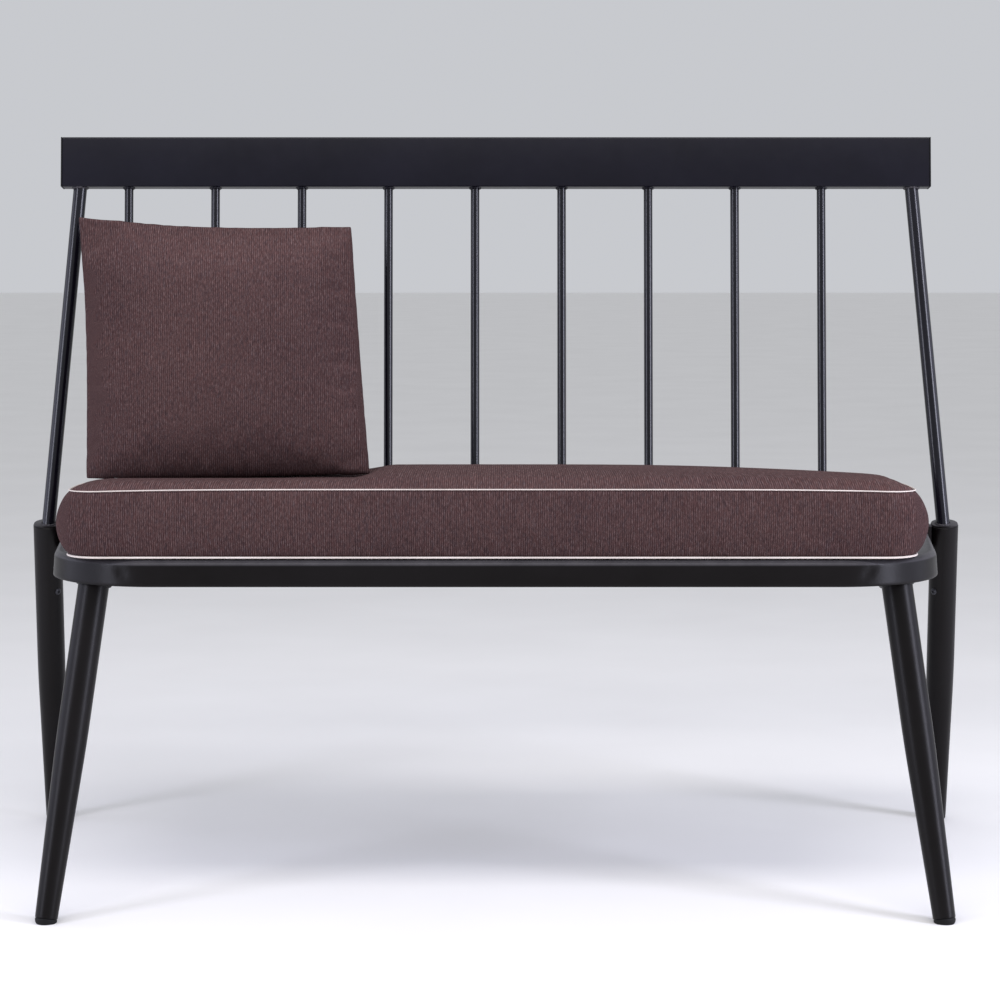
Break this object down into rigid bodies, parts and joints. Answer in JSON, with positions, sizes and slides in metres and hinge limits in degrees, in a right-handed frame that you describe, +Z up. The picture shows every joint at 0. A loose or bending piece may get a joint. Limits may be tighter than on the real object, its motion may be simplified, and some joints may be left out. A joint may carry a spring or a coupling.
{
  "type": "entryway bench",
  "caption": "Steel entryway bench with a spindle back, tapered splayed legs, a piped box cushion and a loose pillow, for sitting down to put on shoes.",
  "frame": {"origin": "on the floor under the middle of the bench, midway between the feet", "axes": "+X to the right of someone facing the bench, along its length; +Y from the front to the back; +Z up"},
  "size_m": [1.2816, 0.5895, 0.961],
  "materials": {
    "frame_steel": "satin",
    "fastener_steel": "satin",
    "glide_plastic": "matte",
    "cushion_cloth": "matte",
    "pillow_cloth": "matte",
    "piping_cloth": "matte",
    "foam": "matte",
    "fibre_filling": "matte"
  },
  "bodies": {
    "frame": {"front_leg_left": "frame_steel", "front_leg_right": "frame_steel", "rear_leg_left": "frame_steel", "rear_leg_right": "frame_steel", "front_glide_left": "glide_plastic", "front_glide_right": "glide_plastic", "rear_glide_left": "glide_plastic", "rear_glide_right": "glide_plastic", "post_socket_left": "frame_steel", "post_socket_right": "frame_steel", "lock_screw_left": "fastener_steel", "lock_screw_right": "fastener_steel", "back_post_left": "frame_steel", "back_post_right": "frame_steel", "spindle_1": "frame_steel", "spindle_2": "frame_steel", "spindle_3": "frame_steel", "spindle_4": "frame_steel", "spindle_5": "frame_steel", "spindle_6": "frame_steel", "spindle_7": "frame_steel", "spindle_8": "frame_steel", "spindle_9": "frame_steel", "top_rail": "frame_steel", "rail_end_cap_left": "glide_plastic", "rail_end_cap_right": "glide_plastic", "rear_seat_rail": "frame_steel", "rear_rail_bracket_left": "frame_steel", "rear_rail_bracket_right": "frame_steel", "rear_rail_bolt_left": "fastener_steel", "rear_rail_bolt_right": "fastener_steel", "seat_pan": "frame_steel", "front_leg_plate_left": "frame_steel", "front_leg_plate_right": "frame_steel", "front_leg_bolt_left_1": "fastener_steel", "front_leg_bolt_left_2": "fastener_steel", "front_leg_bolt_right_1": "fastener_steel", "front_leg_bolt_right_2": "fastener_steel", "seat_brace_1": "frame_steel", "seat_brace_2": "frame_steel", "seat_brace_3": "frame_steel", "pan_screw_1": "fastener_steel", "pan_screw_2": "fastener_steel", "pan_screw_3": "fastener_steel", "pan_screw_4": "fastener_steel"},
    "seat_cushion": {"cushion_bottom_panel": "cushion_cloth", "cushion_top_panel": "cushion_cloth", "cushion_side_band": "cushion_cloth", "cushion_piping_bottom": "piping_cloth", "cushion_piping_top": "piping_cloth", "cushion_foam": "foam"},
    "pillow": {"pillow_front_panel": "pillow_cloth", "pillow_back_panel": "pillow_cloth", "pillow_filling": "fibre_filling"}
  },
  "joints": [
    {"name": "cushion_lift", "type": "slide", "parent": "frame", "child": "seat_cushion", "axis": [0, 0, 1], "range_m": [0, 0.25]},
    {"name": "pillow_lift", "type": "slide", "parent": "seat_cushion", "child": "pillow", "axis": [0, -0.342, 0.9397], "range_m": [0, 0.25]}
  ]
}
